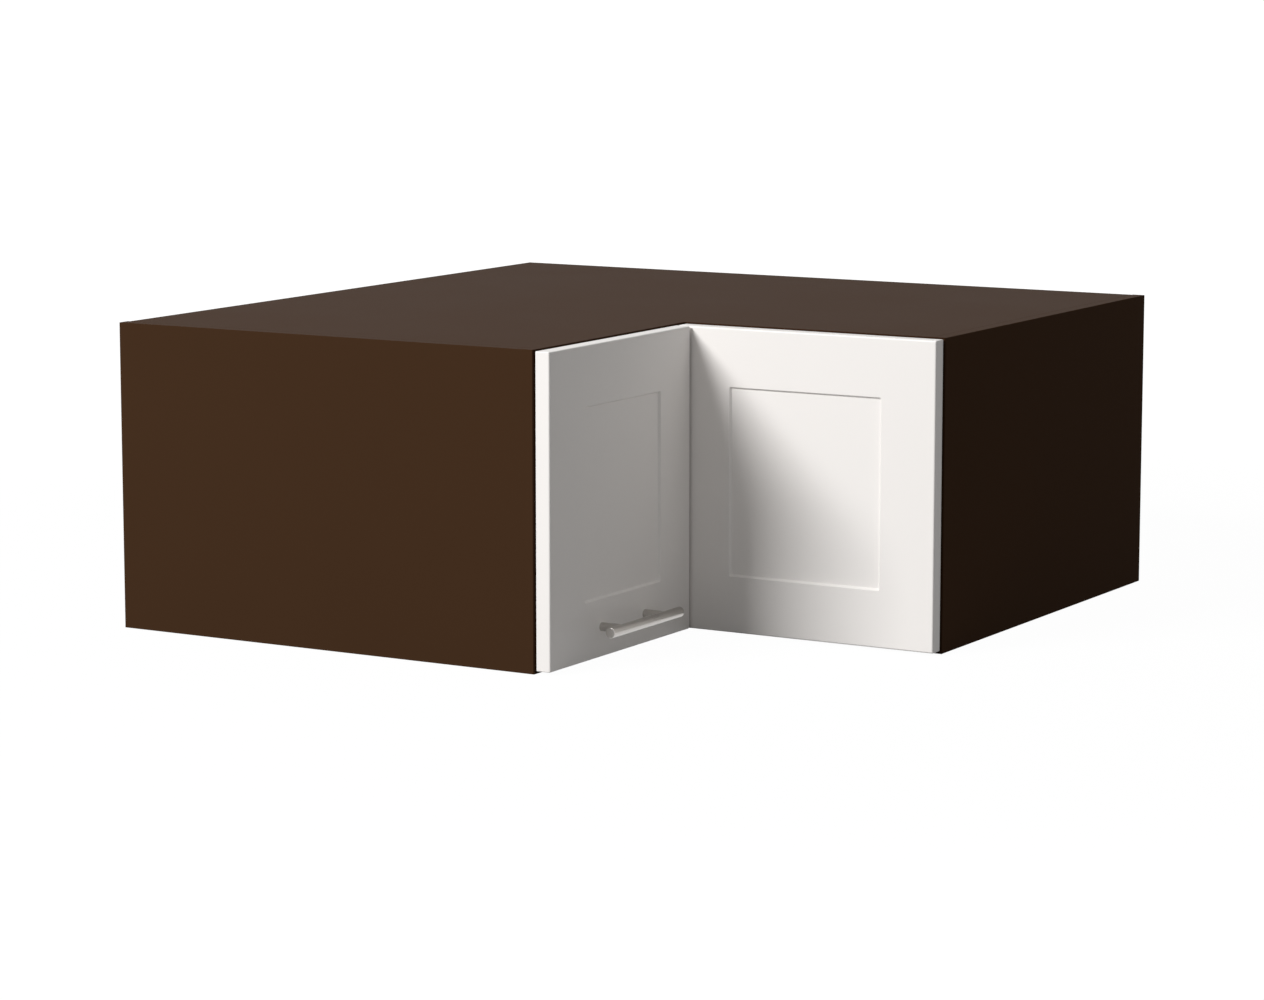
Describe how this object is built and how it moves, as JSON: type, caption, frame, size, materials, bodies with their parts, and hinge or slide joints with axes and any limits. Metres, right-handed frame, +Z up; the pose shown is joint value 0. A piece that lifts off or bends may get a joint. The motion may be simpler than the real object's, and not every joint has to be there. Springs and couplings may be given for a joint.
{
  "type": "corner wall cabinet",
  "caption": "L-shaped corner wall cabinet with two milled-panel doors that meet at the inner corner, joined there by folding hinges and opened together by a bar handle.",
  "frame": {"origin": "centre of the bounding square in plan, on the underside of the bottom panel, on which the cabinet stands when it is off the wall", "axes": "+Z up. The room corner is at -X +Y: the left wall is the plane X = -0.45, the right wall the plane Y = 0.45. The left door faces +X and the right door faces -Y"},
  "size_m": [0.9, 0.9, 0.36],
  "materials": {
    "dark_melamine": "matt dark brown melamine facing on chipboard",
    "edge_band": "matt dark edge band",
    "fibreboard": "thin hardboard, dark face",
    "bare_wood": "bare softwood and beech",
    "door_lacquer": "satin white lacquer on fibreboard",
    "brushed_handle_metal": "brushed nickel finish",
    "zinc_casting": "bare zinc casting",
    "white_plastic": "moulded plastic",
    "clear_bumper": "clear soft plastic",
    "fastener_steel": "zinc-plated steel",
    "nickelled_steel": "nickel-plated pressed steel"
  },
  "bodies": {
    "carcass": {"left_side_panel": "dark_melamine", "right_side_panel": "dark_melamine", "top_panel": "dark_melamine", "bottom_panel": "dark_melamine", "left_back_panel": "fibreboard", "right_back_panel": "fibreboard", "corner_post": "bare_wood", "side_edge_bands": "edge_band", "left_edge_bands": "edge_band", "right_edge_bands": "edge_band", "cam_locks": "zinc_casting", "cam_bolts": "fastener_steel", "dowels": "bare_wood", "back_nails": "fastener_steel", "hanger_housings": "white_plastic", "hanger_hooks": "nickelled_steel", "hanger_screws": "fastener_steel", "hanger_adjusters": "fastener_steel", "hinge_plates": "nickelled_steel", "hinge_plate_screws": "fastener_steel", "hinge_arms": "nickelled_steel", "hinge_arm_screws": "fastener_steel", "hinge_arm_pins": "fastener_steel"},
    "outer_links": {"hinge_outer_links": "nickelled_steel", "hinge_elbow_pins": "fastener_steel"},
    "inner_links": {"hinge_inner_links": "nickelled_steel"},
    "left_door_leaf": {"left_door": "door_lacquer", "hinge_cups": "nickelled_steel", "hinge_cup_pins": "fastener_steel", "hinge_cup_screws": "fastener_steel", "handle_bar": "brushed_handle_metal", "handle_posts": "brushed_handle_metal", "handle_screws": "fastener_steel", "fold_hinge_arms": "nickelled_steel", "fold_arm_screws": "fastener_steel"},
    "right_door_leaf": {"right_door": "door_lacquer", "fold_hinge_cups": "nickelled_steel", "fold_hinge_pins": "fastener_steel", "fold_cup_screws": "fastener_steel", "door_bumpers": "clear_bumper"}
  },
  "joints": [
    {"name": "left_door_swing", "type": "hinge", "parent": "carcass", "child": "left_door_leaf", "pos_m": [0.12525, -0.44325, 0.18], "axis": [0, 0, -1], "range_deg": [0, 105]},
    {"name": "right_door_fold", "type": "hinge", "parent": "left_door_leaf", "child": "right_door_leaf", "pos_m": [0.112, -0.112, 0.18], "axis": [0, 0, 1], "range_deg": [0, 60]},
    {"name": "outer_link_turn", "type": "hinge", "parent": "carcass", "child": "outer_links", "pos_m": [0.1105, -0.429, 0.18], "axis": [0, 0, -1], "range_deg": [0, 105]},
    {"name": "inner_link_turn", "type": "hinge", "parent": "outer_links", "child": "inner_links", "pos_m": [0.10575, -0.41175, 0.18], "axis": [0, 0, 1], "range_deg": [0, 105]}
  ],
  "couplings": [
    {"joint": "right_door_fold", "follows": "left_door_swing", "ratio": 0.57143},
    {"joint": "outer_link_turn", "follows": "left_door_swing", "ratio": 1},
    {"joint": "inner_link_turn", "follows": "left_door_swing", "ratio": 1}
  ]
}
